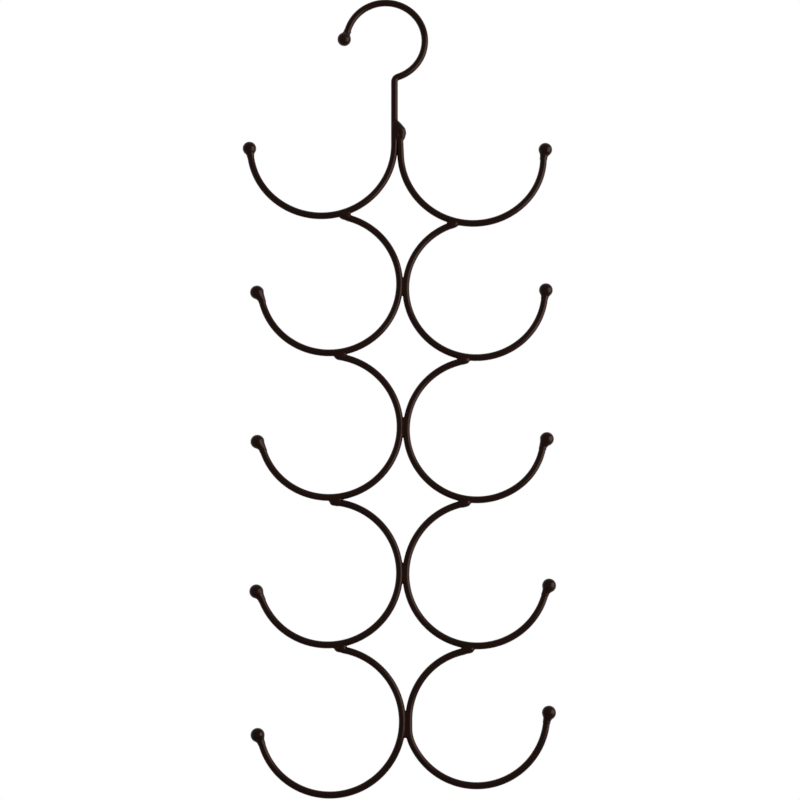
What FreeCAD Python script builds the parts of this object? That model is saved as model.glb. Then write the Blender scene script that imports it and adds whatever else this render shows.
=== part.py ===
import FreeCAD, Part
import math
import os

from FreeCAD import Rotation, Vector

# A flat scarf hanger of bent round wire: a hook and stem above two columns of open cradles.
# Millimetres. X runs to the right, Y away from the viewer and Z up. The wires' middle lines lie in Y = 0.
# The origin is the highest point inside the hook, where it sits on the rod.
# Bend radii are those of the wire's middle line.

# Wire and ball tips
WIRE_DIAMETER = 4.0
BALL_DIAMETER = 8.0
NECK_FILLET = 3.0  # hollow round that runs the ball into its neck
NECK_LIP = 0.15  # wall of the neck where it ends on the wire
NECK_SINK = 0.15  # how far the neck's root lies inside the ball
NECK_ROOT = 0.3  # how far back from the ball's middle the neck's root lies, as a share of its radius

# Hook and stem
HOOK_RADIUS = 23.1
HOOK_END_ANGLE = 163.0  # end of the hook's bend, counted from its right-hand side
HOOK_TAIL = 6.2  # straight end of the hook, from its bend to the ball's middle
SHOULDER_RADIUS = 3.0
STEM_OFFSET = 5.25  # stem, right of the hook's centre
STEM_LENGTH = 38.0

# Top cradles: a bowl each, the left one on the stem itself, both bent on one former
TOP_LEFT_RADIUS = 42.4
TOP_RIGHT_TIGHTER = 0.3  # the right bowl comes out this much tighter
TOP_RIGHT_RADIUS = TOP_LEFT_RADIUS - TOP_RIGHT_TIGHTER
TOP_RIGHT_DROP = 4.8  # the right bowl hangs this much lower than the left one
SIDE_RUN_LENGTH = 15.2  # straight end of the right cradle wire beside the stem
SIDE_RUN_LEAN = 2.6  # it leans in to the stem

# Cradles of the lower tiers: an arm above the centre weld and a bowl below it. Both columns' bowls are bent on
# one former, so that the tiers of the two columns keep level where they touch
TIERS = (2, 3, 4, 5)
LEFT_BOWL_RADIUS = 40.5
RIGHT_BOWLS_TIGHTER = (0.1, 0.4, 0.3, 0.9)  # how much tighter the right bowls come out, from tier 2 down
RIGHT_BOWL_RADII = [LEFT_BOWL_RADIUS - tighter for tighter in RIGHT_BOWLS_TIGHTER]
LEFT_ARM_RADII = (40.2, 41.0, 40.3, 40.5)
RIGHT_ARM_RADII = (39.6, 40.5, 41.0, 38.9)
LEFT_NESTS = (3.95, 2.15, 1.45, 1.85)  # how far each arm reaches into the outer circle of the bowl above
RIGHT_NESTS = (5.15, 2.65, 2.65, 1.75)
CENTRE_SHIFTS = (3.0, 3.3, 3.0, 4.6)  # each centre weld, right of the seam between stem and right cradle

# The lowest right wire lies straight against its neighbour for a stretch
LAST_LAND_LENGTH = 4.6
LAST_KNUCKLE_RADIUS = 21.0
LAST_KNUCKLE_ANGLE = 25.0

# Free ends: a stretch of the bowl bent a little tighter, then a straight end for the ball
END_STRETCH_LENGTH = 25.0
END_RUN_LENGTH = 6.0
# From the top tier down: the wire end's height as an angle at the bowl's centre, the stretch's extra bend,
# and how far the ball sits off the wire's middle line, to the outer side
LEFT_TIPS = ((-3.2, 2.0, 0.0), (-6.8, 1.5, 1.7), (-11.7, 2.0, 1.6), (-14.3, 1.0, 1.2), (-10.4, 1.5, 0.8))
RIGHT_TIPS = ((2.3, 3.5, 0.9), (-1.4, 1.5, 0.1), (-7.7, 4.5, 1.4), (-8.6, 0.5, 0.8), (1.2, 0.0, 0.7))
HOOK_BALL_OFFSET = 0.4

# Welds
WELD_PRESS = 0.4  # how far two wires lying side by side are pressed into each other for their weld
COPE_DEPTH = 0.4  # how far an arm's end is hollowed to sit on the bowl above
BRANCH_WELD_LENGTH = 7.2
BRANCH_WELD_DIAMETER = 4.8
# From tier 2 down: how far the weld's middle lies past the arm's end, and below the wire above
LEFT_BRANCH_WELDS = ((0.8, 0.8), (2.0, 1.2), (2.8, 1.5), (1.3, 1.0))
RIGHT_BRANCH_WELDS = ((1.8, 1.3), (2.3, 1.2), (2.4, 1.5), (2.0, 1.0))
CENTRE_WELDS = ((10.5, 0.3), (10.6, -0.8), (11.6, -0.3), (15.0, 1.0))  # length, and drop below the contact
CENTRE_WELD_DIAMETER = 2.8
STEM_WELD_LENGTH = 11.6
STEM_WELD_DIAMETER = 5.0
STEM_WELD_RISE = 1.1  # its middle, above the end of the right cradle wire
STEM_WELD_INSET = 0.45  # and from there towards the stem
STEM_WELD_LEAN = 34.0  # it leans over from the stem onto the wire's end

LEFT = -1
RIGHT = 1
WIRE_RADIUS = WIRE_DIAMETER / 2
BALL_RADIUS = BALL_DIAMETER / 2
SIDE_SPACING = WIRE_DIAMETER - WELD_PRESS


def at(x, z):
    return Vector(x, 0, z)


def polar(radius, angle):
    """A step in the hanger's plane. Angles turn from +X towards +Z."""
    return at(radius * math.cos(math.radians(angle)), radius * math.sin(math.radians(angle)))


def angle_of(step):
    return math.degrees(math.atan2(step.z, step.x))


UP = angle_of(at(0, 1))
DOWN = angle_of(at(0, -1))


def placed(shape, middle, heading):
    """Turns a shape made along X to the heading and moves it from the origin to its middle."""
    shape.Placement = FreeCAD.Placement(middle, Rotation(Vector(0, -1, 0), heading))
    return shape


class BentWire:
    """A round wire made as on a bench: straight runs and bends, one after the other."""

    def __init__(self, start, heading):
        self.start = start
        self.start_heading = heading
        self.point = start
        self.heading = heading
        self.edges = []

    def run(self, length):
        end = self.point + polar(length, self.heading)
        self.edges.append(Part.LineSegment(self.point, end).toShape())
        self.point = end

    def bend(self, radius, turn):
        """Turns left by a positive angle and right by a negative one. Returns the bend's centre."""
        outward = self.heading - math.copysign(90, turn)
        centre = self.point - polar(radius, outward)
        middle = centre + polar(radius, outward + turn / 2)
        end = centre + polar(radius, outward + turn)
        self.edges.append(Part.Arc(self.point, middle, end).toShape())
        self.point = end
        self.heading += turn
        return centre

    def solid(self):
        direction = self.edges[0].tangentAt(self.edges[0].FirstParameter)
        section = Part.Wire(Part.makeCircle(WIRE_RADIUS, self.start, direction))
        return Part.Wire(self.edges).makePipe(Part.Face(section))


class Cradle:
    """A bent wire and what its neighbours need to know of it."""

    def __init__(self, side, wire, contact):
        self.side = side
        self.wire = wire
        self.contact = contact  # where it lies beside its partner
        self.bowl_centre = None
        self.bowl_radius = None
        self.ball_offset = None
        self.solid = None

    def finish(self, bowl_radius, tip, bent_before=0):
        """Bends the bowl, down and round to its own side, and adds the straight end for the ball."""
        rise, curl, self.ball_offset = tip
        stretch = math.degrees(END_STRETCH_LENGTH / bowl_radius)
        end_run = math.degrees(END_RUN_LENGTH / bowl_radius)
        turn = 180 + rise - bent_before - stretch - end_run
        self.bowl_radius = bowl_radius
        self.bowl_centre = self.wire.bend(bowl_radius, self.side * turn)
        self.wire.bend(END_STRETCH_LENGTH / math.radians(stretch + curl), self.side * (stretch + curl))
        self.wire.run(END_RUN_LENGTH)
        self.solid = self.wire.solid()
        return self

    def press_against(self, neighbour):
        """Hollows the wire where its neighbour is set into it."""
        self.solid = self.solid.cut(neighbour.solid)


def hook_and_stem():
    """Hook, shoulder and stem, from the hook's tip down to the upper left bowl."""
    hook_centre = at(0, WIRE_RADIUS - HOOK_RADIUS)
    shoulder_x = STEM_OFFSET + SHOULDER_RADIUS
    shoulder_drop = math.sqrt((HOOK_RADIUS + SHOULDER_RADIUS) ** 2 - shoulder_x ** 2)
    hook_exit = angle_of(at(shoulder_x, -shoulder_drop))
    heading = HOOK_END_ANGLE - 90
    bend_start = hook_centre + polar(HOOK_RADIUS, HOOK_END_ANGLE)
    wire = BentWire(bend_start - polar(HOOK_TAIL, heading), heading)
    wire.run(HOOK_TAIL)
    wire.bend(HOOK_RADIUS, hook_exit - HOOK_END_ANGLE)
    wire.bend(SHOULDER_RADIUS, -hook_exit)
    wire.run(STEM_LENGTH)
    return wire


def top_left_cradle():
    wire = hook_and_stem()
    return Cradle(LEFT, wire, wire.point).finish(TOP_LEFT_RADIUS, LEFT_TIPS[0])


def top_right_cradle(stem_end):
    contact = stem_end + at(SIDE_SPACING, -TOP_RIGHT_DROP)
    heading = DOWN + SIDE_RUN_LEAN
    bowl_start = contact + at(TOP_RIGHT_RADIUS, 0) + polar(TOP_RIGHT_RADIUS, heading - 90)
    wire = BentWire(bowl_start - polar(SIDE_RUN_LENGTH, heading), heading)
    wire.run(SIDE_RUN_LENGTH)
    return Cradle(RIGHT, wire, contact).finish(TOP_RIGHT_RADIUS, RIGHT_TIPS[0], bent_before=SIDE_RUN_LEAN)


def hang_arm(above, contact_x, arm_radius, nest):
    """Starts a lower cradle: its arm springs from the bowl above and bends round to the centre weld."""
    side = above.side
    seat_radius = above.bowl_radius + WIRE_DIAMETER
    span = seat_radius + arm_radius - nest
    arm_x = contact_x + side * arm_radius
    drop = math.sqrt(span ** 2 - (arm_x - above.bowl_centre.x) ** 2)
    arm_centre = at(arm_x, above.bowl_centre.z - drop)
    end_radius = seat_radius - COPE_DEPTH
    swing = math.acos((span ** 2 + arm_radius ** 2 - end_radius ** 2) / (2 * span * arm_radius))
    start_angle = angle_of(above.bowl_centre - arm_centre) + side * math.degrees(swing)
    contact_angle = 180 if side == RIGHT else 0
    wire = BentWire(arm_centre + polar(arm_radius, start_angle), start_angle + side * 90)
    wire.bend(arm_radius, contact_angle - start_angle)
    return Cradle(side, wire, wire.point)


def lower_cradle(above, contact_x, arm_radius, bowl_radius, nest, tip):
    cradle = hang_arm(above, contact_x, arm_radius, nest)
    cradle.finish(bowl_radius, tip)
    cradle.press_against(above)
    return cradle


def last_right_cradle(above, contact_x, arm_radius, bowl_radius, nest, tip):
    cradle = hang_arm(above, contact_x, arm_radius, nest)
    cradle.contact -= at(0, LAST_LAND_LENGTH / 2)
    cradle.wire.run(LAST_LAND_LENGTH)
    cradle.wire.bend(LAST_KNUCKLE_RADIUS, LAST_KNUCKLE_ANGLE)
    cradle.finish(bowl_radius, tip, bent_before=LAST_KNUCKLE_ANGLE)
    cradle.press_against(above)
    return cradle


def columns_of_cradles():
    """Both columns from the top tier down."""
    left = [top_left_cradle()]
    right = [top_right_cradle(left[0].contact)]
    seam_x = (left[0].contact.x + right[0].contact.x) / 2
    for row, tier in enumerate(TIERS):
        left_x = seam_x + CENTRE_SHIFTS[row] - SIDE_SPACING / 2
        right_x = left_x + SIDE_SPACING
        left_bends = LEFT_ARM_RADII[row], LEFT_BOWL_RADIUS, LEFT_NESTS[row], LEFT_TIPS[row + 1]
        right_bends = RIGHT_ARM_RADII[row], RIGHT_BOWL_RADII[row], RIGHT_NESTS[row], RIGHT_TIPS[row + 1]
        left.append(lower_cradle(left[-1], left_x, *left_bends))
        if tier == TIERS[-1]:
            right.append(last_right_cradle(right[-1], right_x, *right_bends))
        else:
            right.append(lower_cradle(right[-1], right_x, *right_bends))
    for left_cradle, right_cradle in zip(left, right):
        right_cradle.press_against(left_cradle)
    return left, right


def neck_ring(along, outer, inner):
    """A circle across the neck. Its outer and inner edges are measured from the ball's middle."""
    circle = Part.makeCircle((outer + inner) / 2, Vector(along, 0, (outer - inner) / 2), Vector(1, 0, 0))
    return Part.Wire(circle)


def ball_tip(wire_end, heading, outward, offset, wire):
    """A ball on the outer side of the wire's end, drilled to take it. Its neck runs out along the wire."""
    outer_line = WIRE_RADIUS + NECK_LIP - offset
    inner_line = WIRE_RADIUS + NECK_LIP + offset
    fillet_height = outer_line + NECK_FILLET
    fillet = at(-math.sqrt((BALL_RADIUS + NECK_FILLET) ** 2 - fillet_height ** 2), fillet_height)
    join = fillet * (BALL_RADIUS / (BALL_RADIUS + NECK_FILLET))
    waist = fillet + polar(NECK_FILLET, (DOWN + angle_of(-fillet)) / 2)
    root_edge = BALL_RADIUS * math.sqrt(1 - NECK_ROOT ** 2) - NECK_SINK
    rings = [
        neck_ring(fillet.x, outer_line, inner_line),
        neck_ring(waist.x, waist.z, inner_line),
        neck_ring(join.x, join.z - NECK_SINK, inner_line),
        neck_ring(-BALL_RADIUS * NECK_ROOT, root_edge, root_edge),
    ]
    ball = Part.makeSphere(BALL_RADIUS).fuse(Part.makeLoft(rings, True))
    if outward == RIGHT:
        ball = ball.mirror(Vector(0, 0, 0), Vector(0, 0, 1))
    middle = wire_end + polar(offset, heading - outward * 90)
    return placed(ball, middle, heading).cut(wire)


def weld(middle, heading, length, diameter, wires):
    """A round-ended run of weld metal along the heading, hollowed by the wires that it joins."""
    radius = diameter / 2
    half_run = length / 2 - radius
    bead = Part.makeCylinder(radius, 2 * half_run, Vector(-half_run, 0, 0), Vector(1, 0, 0))
    for end in (-half_run, half_run):
        bead = bead.fuse(Part.makeSphere(radius, Vector(end, 0, 0)))
    bead = placed(bead, middle, heading)
    for wire in wires:
        bead = bead.cut(wire)
    return bead


def branch_weld(above, cradle, past_end, sink):
    """Fills the crotch where an arm leaves the bowl above, and covers the arm's cut end."""
    arm_end = cradle.wire.start
    heading = cradle.wire.start_heading
    underside = above.bowl_radius + WIRE_RADIUS
    seat = above.bowl_centre + polar(underside + sink, angle_of(arm_end - above.bowl_centre))
    seat -= polar(past_end, heading)
    wires = [above.solid, cradle.solid]
    return weld(seat, heading, BRANCH_WELD_LENGTH, BRANCH_WELD_DIAMETER, wires)


def centre_weld(left, right, length, drop):
    """Fills the seam where the two columns touch."""
    middle = (left.contact + right.contact) / 2 - at(0, drop)
    return weld(middle, UP, length, CENTRE_WELD_DIAMETER, [left.solid, right.solid])


def stem_weld(left, right):
    """A lump over the right cradle wire's end that ties it to the stem."""
    middle = right.wire.start + at(-STEM_WELD_INSET, STEM_WELD_RISE)
    wires = [left.solid, right.solid]
    return weld(middle, UP + STEM_WELD_LEAN, STEM_WELD_LENGTH, STEM_WELD_DIAMETER, wires)


def save(name, shape):
    shape.exportStep("parts/" + name + ".step")


def main():
    os.makedirs("parts", exist_ok=True)
    left, right = columns_of_cradles()
    hook_wire = left[0].wire
    save("hook_wire", left[0].solid)
    hook_heading = hook_wire.start_heading + 180
    hook_tip = ball_tip(hook_wire.start, hook_heading, RIGHT, HOOK_BALL_OFFSET, left[0].solid)
    save("hook_ball_tip", hook_tip)
    save("stem_weld", stem_weld(left[0], right[0]))
    save("cradle_wire_right_1", right[0].solid)
    branch_welds = {"left": LEFT_BRANCH_WELDS, "right": RIGHT_BRANCH_WELDS}
    for side, column in (("left", left), ("right", right)):
        for tier, cradle in enumerate(column, start=1):
            wire = cradle.wire
            tip = ball_tip(wire.point, wire.heading, cradle.side, cradle.ball_offset, cradle.solid)
            save("ball_tip_%s_%d" % (side, tier), tip)
        for tier, above, cradle, place in zip(TIERS, column, column[1:], branch_welds[side]):
            save("cradle_wire_%s_%d" % (side, tier), cradle.solid)
            save("branch_weld_%s_%d" % (side, tier), branch_weld(above, cradle, *place))
    for tier, left_cradle, right_cradle, size in zip(TIERS, left[1:], right[1:], CENTRE_WELDS):
        save("centre_weld_%d" % tier, centre_weld(left_cradle, right_cradle, *size))


main()
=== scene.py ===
import math
from collections import namedtuple

import bpy
import numpy as np
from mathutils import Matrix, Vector
from mathutils.bvhtree import BVHTree


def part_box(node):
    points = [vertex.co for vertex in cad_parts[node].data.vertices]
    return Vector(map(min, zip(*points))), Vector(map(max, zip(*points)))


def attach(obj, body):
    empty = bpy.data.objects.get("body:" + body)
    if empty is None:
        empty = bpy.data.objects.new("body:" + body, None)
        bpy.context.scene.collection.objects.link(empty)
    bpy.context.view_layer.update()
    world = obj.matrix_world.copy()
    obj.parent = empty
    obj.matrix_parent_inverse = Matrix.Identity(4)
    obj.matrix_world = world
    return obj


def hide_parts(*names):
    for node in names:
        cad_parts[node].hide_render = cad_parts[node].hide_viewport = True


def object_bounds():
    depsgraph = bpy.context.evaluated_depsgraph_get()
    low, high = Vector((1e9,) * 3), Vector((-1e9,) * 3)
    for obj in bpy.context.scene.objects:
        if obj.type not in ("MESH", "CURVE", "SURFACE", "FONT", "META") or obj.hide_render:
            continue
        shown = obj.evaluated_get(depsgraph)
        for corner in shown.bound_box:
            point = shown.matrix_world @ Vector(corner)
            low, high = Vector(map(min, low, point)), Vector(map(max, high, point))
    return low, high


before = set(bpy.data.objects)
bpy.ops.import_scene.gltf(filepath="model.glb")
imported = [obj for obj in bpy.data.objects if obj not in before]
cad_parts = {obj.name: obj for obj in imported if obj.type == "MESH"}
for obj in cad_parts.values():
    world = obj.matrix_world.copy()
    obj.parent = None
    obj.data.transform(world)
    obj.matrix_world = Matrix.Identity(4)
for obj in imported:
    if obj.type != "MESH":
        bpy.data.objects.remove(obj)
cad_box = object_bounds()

# A dark bronze wire scarf hanger, hung in a white studio. Metres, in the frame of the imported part.
MM = 0.001

# Camera: it stands low in front of the hanger and looks a little up
AIM = Vector((8.5, 0.0, -234.2)) * MM
CAMERA_DISTANCE = 1158 * MM
CAMERA_TILT = math.radians(7.98)
CAMERA_LENS = 90.94  # millimetres, as is the sensor's width
CAMERA_SENSOR = 36

# Stage
FLOOR_DROP = 60 * MM  # floor, below the lowest cradle
FLOOR_RADIUS = 0.5
FLOOR_SIDES = 96
SHADOW_RADIUS = 0.15  # the floor is plainly lit out to here
WHITE_RADIUS = 0.45  # and has faded into the white surroundings here
WHITE = (1.0, 1.0, 1.0, 1.0)
PALE = (0.86, 0.86, 0.855, 1.0)
AMBIENT = 0.25

# Lamps: where each stands as seen from the aim, its size and watts, and whether the coat mirrors it.
# The back lamp is there for the shadow on the floor.
Lamp = namedtuple("Lamp", "direction distance width height power glints")
KEY_LAMP = Lamp((0.89, -0.44, 0.0), 1.3, 1.3, 1.5, 40, True)
BACK_LAMP = Lamp((0.1, 0.6, 0.8), 1.6, 0.2, 0.2, 8, False)

# Coat: its colours, the noises in it, and the roughness and orange peel of each kind of piece
COAT_DARK = (0.0022, 0.0003, 0.0002, 1.0)
COAT_BROWN = (0.0055, 0.0012, 0.0008, 1.0)
COAT_SPECULAR = 0.11
COAT_TINT = (1.0, 0.60, 0.47, 1.0)
NOISE_MIDDLE = (0.3, 0.7)  # most of a noise lies between these
CLOUD_SIZE = 14 * MM
CLOUD_BROWN = (0.0, 0.75)  # share of brown that the clouds give
CLOUD_ROUGHNESS = 0.05  # and how far they change the roughness, either way
GRAIN_SIZE = 0.25 * MM
GRAIN_BROWN = (-0.15, 0.25)
GRAIN_STRENGTH = 0.4
GRAIN_DEPTH = 0.008 * MM
PEEL_SIZE = 1.1 * MM
PEEL_DEPTH = 0.03 * MM
WIRE_FINISH = (0.23, 0.35)
TIP_FINISH = (0.22, 0.3)
WELD_FINISH = (0.24, 0.5)

# Skins: the coated welds and ball tips, each run smoothly into its wires
SKIN_STEP = 0.3 * MM  # grid that a skin is found on
SKIN_COAT = 0.05 * MM  # coat over the metal
SKIN_SINK = 0.12 * MM  # depth of its rim, inside the wires
SKIN_FAR = 8 * MM  # distances past this one don't matter

# A skin's rounds between the metal and its wires in turn, its reach along the wires, the crown of the
# metal's middle, and how often the mesh is smoothed
Skin = namedtuple("Skin", "rounds reach crown smoothings")
TIP_SKIN = Skin((1.8 * MM,), 2.6 * MM, 0.0, 14)
STEM_SKIN = Skin((0.3 * MM, 5.0 * MM), 5.0 * MM, 0.9 * MM, 6)
BRANCH_SKIN = Skin((0.5 * MM, 0.5 * MM), 2.4 * MM, 0.0, 16)
SEAM_SKIN = Skin((0.4 * MM, 0.4 * MM), 1.6 * MM, 0.0, 4)  # centre welds that leave a seam
FILLED_SKIN = Skin((0.8 * MM, 0.8 * MM), 2.2 * MM, 0.0, 4)  # the centre weld that fills it
FILLED_TIER = 3
CROWN_RADIUS = 5 * MM
ROUND_ANGLE = math.radians(60)  # surfaces at this angle or more to each other get the whole round
LEAST_ROUND = 1e-9  # keeps a round of nothing from being divided by

# Unevenness of the welds: length and direction of each ripple
RIPPLES = ((1.7 * MM, (0.3, 0.4, 0.87)), (2.6 * MM, (0.85, -0.35, 0.4)))
RIPPLE_HEIGHT = 0.07 * MM

# Rays that tell inside from outside, and the step that takes them past a surface
PROBE_WAYS = ((0.31, 0.93, 0.19), (-0.23, -0.89, 0.41), (0.67, -0.58, -0.47))
PROBES = [Vector(way).normalized() for way in PROBE_WAYS]
PROBE_STEP = 0.001 * MM

SIDES = ("left", "right")
TIERS = (1, 2, 3, 4, 5)


def new_material(name):
    material = bpy.data.materials.new(name)
    material.use_nodes = True
    material.node_tree.nodes.clear()
    return material, material.node_tree.nodes, material.node_tree.links


def noise(nodes, links, coordinate, size, detail):
    """A noise whose lumps are about this big, in metres."""
    node = nodes.new("ShaderNodeTexNoise")
    node.inputs["Scale"].default_value = 1 / size
    node.inputs["Detail"].default_value = detail
    links.new(coordinate, node.inputs["Vector"])
    return node.outputs["Fac"]


def spread(nodes, links, value, low, high):
    """Stretches a noise's middle range to run from low to high."""
    node = nodes.new("ShaderNodeMapRange")
    node.inputs["From Min"].default_value, node.inputs["From Max"].default_value = NOISE_MIDDLE
    node.inputs["To Min"].default_value = low
    node.inputs["To Max"].default_value = high
    links.new(value, node.inputs["Value"])
    return node.outputs["Result"]


def bump(nodes, links, height, strength, depth):
    node = nodes.new("ShaderNodeBump")
    node.inputs["Strength"].default_value = strength
    node.inputs["Distance"].default_value = depth
    links.new(height, node.inputs["Height"])
    return node


def powder_coat(name, roughness, peel):
    """Satin dark bronze coat: clouded colour, fine grains and the orange peel of a sprayed finish."""
    material, nodes, links = new_material(name)
    place = nodes.new("ShaderNodeTexCoord").outputs["Object"]
    clouds = noise(nodes, links, place, CLOUD_SIZE, 3)
    grains = noise(nodes, links, place, GRAIN_SIZE, 2)
    ripples = noise(nodes, links, place, PEEL_SIZE, 1)

    brown = nodes.new("ShaderNodeMath")
    brown.operation = "ADD"
    links.new(spread(nodes, links, clouds, *CLOUD_BROWN), brown.inputs[0])
    links.new(spread(nodes, links, grains, *GRAIN_BROWN), brown.inputs[1])
    colour = nodes.new("ShaderNodeMix")
    colour.data_type = "RGBA"
    colour.inputs["A"].default_value = COAT_DARK
    colour.inputs["B"].default_value = COAT_BROWN
    links.new(brown.outputs["Value"], colour.inputs["Factor"])

    shader = nodes.new("ShaderNodeBsdfPrincipled")
    shader.inputs["Specular IOR Level"].default_value = COAT_SPECULAR
    shader.inputs["Specular Tint"].default_value = COAT_TINT
    links.new(colour.outputs["Result"], shader.inputs["Base Color"])
    smooth, rough = roughness - CLOUD_ROUGHNESS, roughness + CLOUD_ROUGHNESS
    links.new(spread(nodes, links, clouds, smooth, rough), shader.inputs["Roughness"])

    skin = bump(nodes, links, ripples, peel, PEEL_DEPTH)
    dust = bump(nodes, links, grains, GRAIN_STRENGTH, GRAIN_DEPTH)
    links.new(skin.outputs["Normal"], dust.inputs["Normal"])
    links.new(dust.outputs["Normal"], shader.inputs["Normal"])

    output = nodes.new("ShaderNodeOutputMaterial")
    links.new(shader.outputs["BSDF"], output.inputs["Surface"])
    return material


def dress(node, material):
    node.data.materials.clear()
    node.data.materials.append(material)


def dress_nodes():
    for name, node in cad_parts.items():
        if "tip" in name:
            dress(node, tip_coat)
        elif "weld" in name:
            dress(node, weld_coat)
        else:
            dress(node, wire_coat)


def tree_of(name):
    """Search tree of a node's mesh, made once."""
    if name not in trees:
        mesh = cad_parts[name].data
        faces = [face.vertices for face in mesh.polygons]
        trees[name] = BVHTree.FromPolygons([corner.co for corner in mesh.vertices], faces)
    return trees[name]


def crosses_oddly(tree, point, probe):
    """Whether a ray from the point crosses the solid's surface an odd number of times."""
    odd = False
    place = tree.ray_cast(point, probe)[0]
    while place is not None:
        odd = not odd
        place = tree.ray_cast(place + probe * PROBE_STEP, probe)[0]
    return odd


def within(tree, point):
    """Two probes say whether the point is inside the solid, and a third where they differ."""
    first, second, third = PROBES
    odd = crosses_oddly(tree, point, first)
    if crosses_oddly(tree, point, second) != odd:
        odd = crosses_oddly(tree, point, third)
    return odd


def distances(tree, points):
    """Each point's distance to the solid, below zero inside it, and the way the nearest surface faces."""
    field = np.full(len(points), SKIN_FAR)
    facing = np.zeros((len(points), 3))
    for i, point in enumerate(points):
        place, normal, face, distance = tree.find_nearest(point, SKIN_FAR)
        if place is not None:
            field[i] = -distance if within(tree, Vector(point)) else distance
            facing[i] = normal
    return field, facing


def soft_union(first, second, blend):
    """The nearer of two surfaces, rounded off where they meet at an angle."""
    field, facing = first
    other, other_facing = second
    turn = 1 - np.sum(facing * other_facing, axis=1)
    blend = blend * np.clip(turn / (1 - math.cos(ROUND_ANGLE)), 0, 1)
    alike = np.maximum(blend - np.abs(field - other), 0)
    nearer = np.where((field < other)[:, None], facing, other_facing)
    return np.minimum(field, other) - alike ** 2 / (4 * np.maximum(blend, LEAST_ROUND)), nearer


def ripple(points):
    waves = [np.sin(2 * math.pi / length * (points @ np.array(way))) for length, way in RIPPLES]
    return RIPPLE_HEIGHT / len(RIPPLES) * sum(waves)


def crowned(points, centre, crown):
    """How far the metal stands proud here: most at its centre, nothing past the crown's radius."""
    share = 1 - np.sum((points - centre) ** 2, axis=1) / CROWN_RADIUS ** 2
    return crown * np.maximum(share, 0)


def skin_field(metal, wires, points, skin, rippled):
    """Below zero inside the coated metal and a short way along its wires, where it sinks into them."""
    core, facing = distances(tree_of(metal), points)
    field = core - skin.reach
    near = field < SKIN_STEP
    core = core[near]
    away = np.clip(core / skin.reach, 0, 1)
    if rippled:
        core = core + ripple(points[near])
    centre = np.mean(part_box(metal), axis=0)
    body = core - crowned(points[near], centre, skin.crown), facing[near]
    for wire, blend in zip(wires, skin.rounds):
        body = soft_union(body, distances(tree_of(wire), points[near]), blend * (1 - away))
    lift = SKIN_COAT - (SKIN_COAT + SKIN_SINK) * away
    field[near] = np.maximum(body[0] - lift, field[near])
    return field


def cut_along(array, axis, start, count):
    window = [slice(None)] * 3
    window[axis] = slice(start, start + count)
    return array[tuple(window)]


def surface_net(field, low):
    """Closed mesh of the field's zero surface.

    It has a corner in each cell that the surface crosses and a quad for each crossed edge of the grid.
    """
    cells = [n - 1 for n in field.shape]
    total = np.zeros(cells + [3])
    count = np.zeros(cells)
    crossings = []
    for axis in range(3):
        first = cut_along(field, axis, 0, cells[axis])
        second = cut_along(field, axis, 1, cells[axis])
        crossed = (first < 0) != (second < 0)
        share = np.where(crossed, first / np.where(crossed, first - second, 1), 0)
        place = np.stack(np.indices(first.shape), -1).astype(float)
        place[..., axis] += share
        crossings.append((crossed, first < 0))
        one, two = [a for a in range(3) if a != axis]
        for i in (0, 1):
            for j in (0, 1):
                edge = cut_along(cut_along(crossed, one, i, cells[one]), two, j, cells[two])
                for a in range(3):
                    spot = cut_along(place[..., a], one, i, cells[one])
                    total[..., a] += cut_along(spot, two, j, cells[two]) * edge
                count += edge
    number = np.full(cells, -1)
    number[count > 0] = np.arange((count > 0).sum())
    corners = low + SKIN_STEP * total[count > 0] / count[count > 0][:, None]

    quads = []
    for axis, (crossed, leaving) in enumerate(crossings):
        one, two = (axis + 1) % 3, (axis + 2) % 3
        edges = np.argwhere(crossed)
        edges = edges[(edges[:, one] > 0) & (edges[:, two] > 0)]
        edges = edges[(edges[:, one] < cells[one]) & (edges[:, two] < cells[two])]
        ring = []
        for i, j in ((1, 1), (0, 1), (0, 0), (1, 0)):
            cell = edges.copy()
            cell[:, one] -= i
            cell[:, two] -= j
            ring.append(number[tuple(cell.T)])
        ring = np.stack(ring, 1)
        backward = ~leaving[tuple(edges.T)]
        ring[backward] = ring[backward][:, ::-1]
        quads.append(ring)
    return corners, np.concatenate(quads)


def smoothed(corners, quads, times):
    """Moves each corner half way to the middle of its neighbours, this many times over."""
    for step in range(times):
        total = np.zeros_like(corners)
        count = np.zeros(len(corners))
        for a, b in ((0, 1), (1, 2), (2, 3), (3, 0)):
            np.add.at(total, quads[:, a], corners[quads[:, b]])
            np.add.at(count, quads[:, a], 1)
        corners = (corners + total / count[:, None]) / 2
    return corners


def add_skin(metal, wires, material, skin, rippled):
    """Replaces a weld or tip by its coated skin, which rides on the same body."""
    low, high = (np.array(corner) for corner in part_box(metal))
    margin = skin.reach + 2 * SKIN_STEP
    low, high = low - margin, high + margin
    shape = np.ceil((high - low) / SKIN_STEP).astype(int) + 1
    points = low + SKIN_STEP * np.stack(np.indices(shape), -1).reshape(-1, 3)
    field = skin_field(metal, wires, points, skin, rippled).reshape(shape)
    corners, quads = surface_net(field, low)
    mesh = bpy.data.meshes.new("coated_" + metal)
    mesh.from_pydata(smoothed(corners, quads, skin.smoothings).tolist(), [], quads.tolist())
    mesh.shade_smooth()
    piece = bpy.data.objects.new("coated_" + metal, mesh)
    bpy.context.scene.collection.objects.link(piece)
    dress(piece, material)
    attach(piece, "root")
    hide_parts(metal)


def wire_of(side, tier):
    """The wire that bends into this cradle: the hook's wire goes on into the upper left one."""
    if (side, tier) == ("left", 1):
        return "hook_wire"
    return "cradle_wire_%s_%d" % (side, tier)


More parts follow.
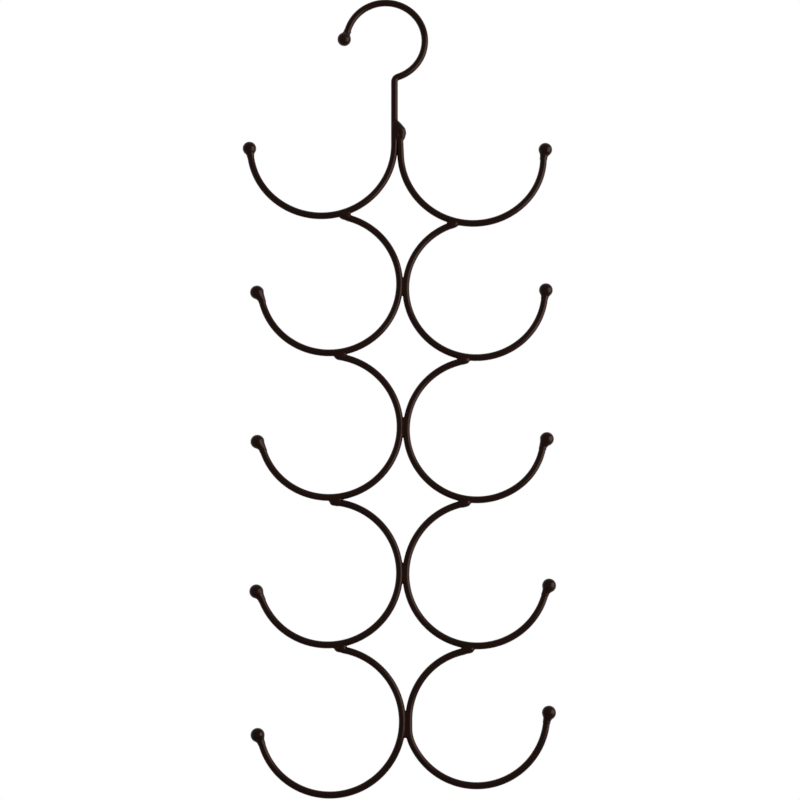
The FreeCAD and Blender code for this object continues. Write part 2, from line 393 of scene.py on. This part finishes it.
def add_tips():
    tips = [("hook_ball_tip", "hook_wire")]
    for tier in TIERS:
        tips += [("ball_tip_%s_%d" % (side, tier), wire_of(side, tier)) for side in SIDES]
    for metal, wire in tips:
        add_skin(metal, (wire,), tip_coat, TIP_SKIN, False)


def add_welds():
    welds = [("stem_weld", (wire_of("left", 1), wire_of("right", 1)), STEM_SKIN)]
    for tier in TIERS[1:]:
        for side in SIDES:
            joined = (wire_of(side, tier - 1), wire_of(side, tier))
            welds.append(("branch_weld_%s_%d" % (side, tier), joined, BRANCH_SKIN))
        joined = (wire_of("left", tier), wire_of("right", tier))
        skin = FILLED_SKIN if tier == FILLED_TIER else SEAM_SKIN
        welds.append(("centre_weld_%d" % tier, joined, skin))
    for metal, wires, skin in welds:
        add_skin(metal, wires, weld_coat, skin, True)


def seen_directly(nodes, links):
    """1 for rays from the camera and those that a reflection or clear glass sends on, 0 for light."""
    path = nodes.new("ShaderNodeLightPath")
    total = path.outputs["Is Camera Ray"]
    for ray in ("Is Glossy Ray", "Is Transmission Ray"):
        larger = nodes.new("ShaderNodeMath")
        larger.operation = "MAXIMUM"
        links.new(total, larger.inputs[0])
        links.new(path.outputs[ray], larger.inputs[1])
        total = larger.outputs["Value"]
    return total


def white_world():
    world = bpy.data.worlds.new("white_studio")
    bpy.context.scene.world = world
    world.use_nodes = True
    nodes = world.node_tree.nodes
    links = world.node_tree.links
    nodes.clear()
    light = nodes.new("ShaderNodeBackground")
    light.inputs["Color"].default_value = WHITE
    light.inputs["Strength"].default_value = AMBIENT
    backdrop = nodes.new("ShaderNodeBackground")
    backdrop.inputs["Color"].default_value = WHITE
    mix = nodes.new("ShaderNodeMixShader")
    links.new(seen_directly(nodes, links), mix.inputs["Fac"])
    links.new(light.outputs["Background"], mix.inputs[1])
    links.new(backdrop.outputs["Background"], mix.inputs[2])
    output = nodes.new("ShaderNodeOutputWorld")
    links.new(mix.outputs["Shader"], output.inputs["Surface"])


def floor_paint():
    """Pale and matt round the object, so that it takes a shadow, and white further out."""
    material, nodes, links = new_material("pale_floor")
    place = nodes.new("ShaderNodeTexCoord").outputs["Object"]
    reach = nodes.new("ShaderNodeVectorMath")
    reach.operation = "LENGTH"
    links.new(place, reach.inputs[0])
    fade = nodes.new("ShaderNodeMapRange")
    fade.interpolation_type = "SMOOTHSTEP"
    fade.inputs["From Min"].default_value = SHADOW_RADIUS
    fade.inputs["From Max"].default_value = WHITE_RADIUS
    links.new(reach.outputs["Value"], fade.inputs["Value"])
    share = nodes.new("ShaderNodeMath")
    share.operation = "MULTIPLY"
    links.new(fade.outputs["Result"], share.inputs[0])
    links.new(seen_directly(nodes, links), share.inputs[1])
    paint = nodes.new("ShaderNodeBsdfDiffuse")
    paint.inputs["Color"].default_value = PALE
    glow = nodes.new("ShaderNodeEmission")
    glow.inputs["Color"].default_value = WHITE
    mix = nodes.new("ShaderNodeMixShader")
    links.new(share.outputs["Value"], mix.inputs["Fac"])
    links.new(paint.outputs["BSDF"], mix.inputs[1])
    links.new(glow.outputs["Emission"], mix.inputs[2])
    output = nodes.new("ShaderNodeOutputMaterial")
    links.new(mix.outputs["Shader"], output.inputs["Surface"])
    return material


def add_floor():
    low, high = cad_box
    bpy.ops.mesh.primitive_circle_add(vertices=FLOOR_SIDES, radius=FLOOR_RADIUS, fill_type="NGON")
    floor = bpy.context.object
    floor.name = "floor"
    floor.location = ((low.x + high.x) / 2, 0, low.z - FLOOR_DROP)
    dress(floor, floor_paint())


def add_lamp(name, kind):
    """A soft lamp that faces the middle of the hanger."""
    data = bpy.data.lights.new(name, "AREA")
    data.shape = "RECTANGLE"
    data.size = kind.width
    data.size_y = kind.height
    data.energy = kind.power
    lamp = bpy.data.objects.new(name, data)
    bpy.context.scene.collection.objects.link(lamp)
    towards = Vector(kind.direction).normalized()
    lamp.location = AIM + towards * kind.distance
    lamp.rotation_mode = "QUATERNION"
    lamp.rotation_quaternion = towards.to_track_quat("Z", "Y")
    lamp.visible_glossy = kind.glints


def add_camera():
    data = bpy.data.cameras.new("camera")
    data.sensor_width = CAMERA_SENSOR
    data.lens = CAMERA_LENS
    camera = bpy.data.objects.new("camera", data)
    bpy.context.scene.collection.objects.link(camera)
    forward = Vector((0, math.cos(CAMERA_TILT), math.sin(CAMERA_TILT)))
    camera.location = AIM - forward * CAMERA_DISTANCE
    camera.rotation_mode = "QUATERNION"
    camera.rotation_quaternion = forward.to_track_quat("-Z", "Y")
    bpy.context.scene.camera = camera


bpy.context.scene.view_settings.view_transform = "Standard"
trees = {}
wire_coat = powder_coat("wire_coat", *WIRE_FINISH)
tip_coat = powder_coat("tip_coat", *TIP_FINISH)
weld_coat = powder_coat("weld_coat", *WELD_FINISH)
add_camera()
dress_nodes()
add_tips()
add_welds()
white_world()
add_floor()
add_lamp("key", KEY_LAMP)
add_lamp("back", BACK_LAMP)
